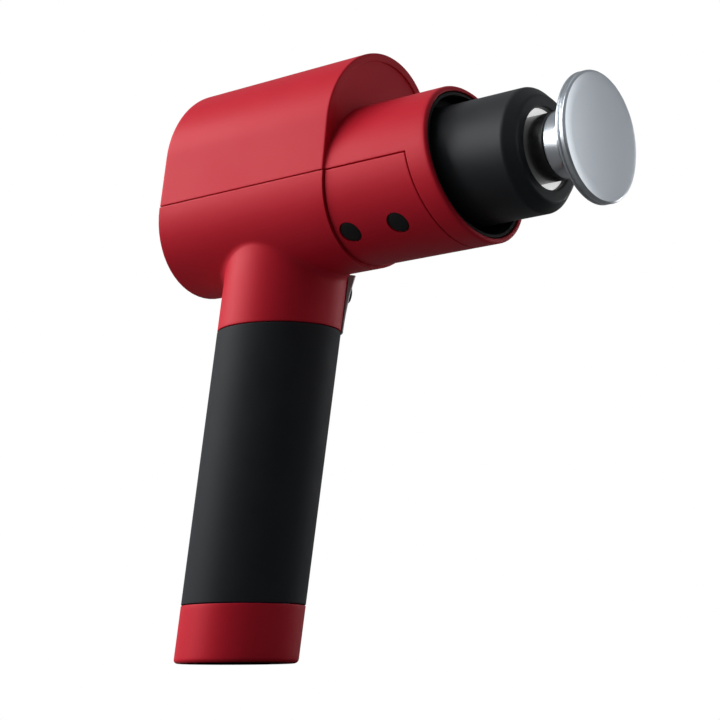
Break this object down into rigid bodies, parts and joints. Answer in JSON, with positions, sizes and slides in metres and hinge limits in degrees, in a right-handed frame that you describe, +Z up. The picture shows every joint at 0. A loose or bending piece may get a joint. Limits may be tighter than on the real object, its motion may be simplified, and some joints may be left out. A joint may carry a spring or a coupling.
{
  "type": "massage gun",
  "caption": "Handheld percussion massager: capsule-section housing and short barrel on a raked round handle, with a pull-off disc head on a crank-driven piston.",
  "frame": {"origin": "centre of the flat base face of the handle's end cap", "axes": "+X forward, towards the massage head along the barrel's axis; +Y to the left; +Z up, out of the base face"},
  "size_m": [0.1926, 0.061, 0.224],
  "materials": {
    "red_shell": "satin soft-touch paint",
    "dark_polymer": "fine satin",
    "black_polymer": "satin",
    "grip_rubber": "matt silicone",
    "black_rubber": "matt",
    "display_glass": "polished",
    "grey_trim": "metallic paint",
    "white_polymer": "smooth",
    "polished_metal": "polished and satin",
    "cast_metal": "machined",
    "steel": "ground",
    "copper": "enamelled wire",
    "circuit_board": "solder mask",
    "cell_sleeve": "shrink sleeve"
  },
  "bodies": {
    "housing": {"upper_shell": "red_shell", "lower_shell": "red_shell", "barrel_cover": "red_shell", "end_cap": "red_shell", "rear_cover": "dark_polymer", "display_lens": "display_glass", "display_board": "circuit_board", "drive_board": "circuit_board", "mouth_seal": "black_rubber", "nose_sleeve": "dark_polymer", "guide_bush": "white_polymer", "drive_frame": "cast_metal", "motor_post": "cast_metal", "motor_bearing_lower": "steel", "motor_bearing_upper": "steel", "stator_core": "steel", "winding_lower": "copper", "winding_upper": "copper", "grip_sleeve": "grip_rubber", "charge_jack": "black_polymer", "battery_board": "circuit_board", "thumb_panel": "grey_trim", "screw_plug_1": "black_rubber", "cover_screw_1": "steel", "screw_plug_2": "black_rubber", "cover_screw_2": "steel", "screw_plug_3": "black_rubber", "cover_screw_3": "steel", "screw_plug_4": "black_rubber", "cover_screw_4": "steel", "battery_cell_1": "cell_sleeve", "battery_cell_2": "cell_sleeve", "battery_cell_3": "cell_sleeve", "battery_cell_4": "cell_sleeve", "battery_cell_5": "cell_sleeve", "battery_cell_6": "cell_sleeve", "pack_plate_1": "white_polymer", "pack_plate_2": "white_polymer", "pack_plate_3": "white_polymer"},
    "rotor": {"rotor_can": "steel", "magnet_ring": "steel", "motor_shaft": "steel", "crank_disc": "steel"},
    "piston": {"piston": "cast_metal", "wrist_pin": "steel", "piston_ring": "dark_polymer"},
    "rod": {"connecting_rod": "cast_metal", "big_end_bearing": "steel", "crank_pin": "steel"},
    "head": {"head_disc": "polished_metal", "head_stem": "black_polymer", "o_ring_1": "black_rubber", "o_ring_2": "black_rubber"},
    "button": {"power_button": "black_polymer"}
  },
  "joints": [
    {"name": "motor_spin", "type": "hinge", "parent": "housing", "child": "rotor", "pos_m": [0.04714, 0, 0.1745], "axis": [0, 0, 1], "continuous": true},
    {"name": "piston_stroke", "type": "slide", "parent": "housing", "child": "piston", "axis": [1, 0, 0], "range_m": [-0.006, 0.006]},
    {"name": "rod_swing", "type": "hinge", "parent": "piston", "child": "rod", "pos_m": [0.1003, 0, 0.1745], "axis": [0, 0, 1], "range_deg": [0, 12.88]},
    {"name": "head_pull_off", "type": "slide", "parent": "piston", "child": "head", "axis": [1, 0, 0], "range_m": [0, 0.022]},
    {"name": "power_button_press", "type": "slide", "parent": "housing", "child": "button", "axis": [-0.5222, -0.848, 0.0902], "range_m": [0, 0.0007], "stiffness_N_per_m": 200, "springref_m": -0.0005}
  ]
}
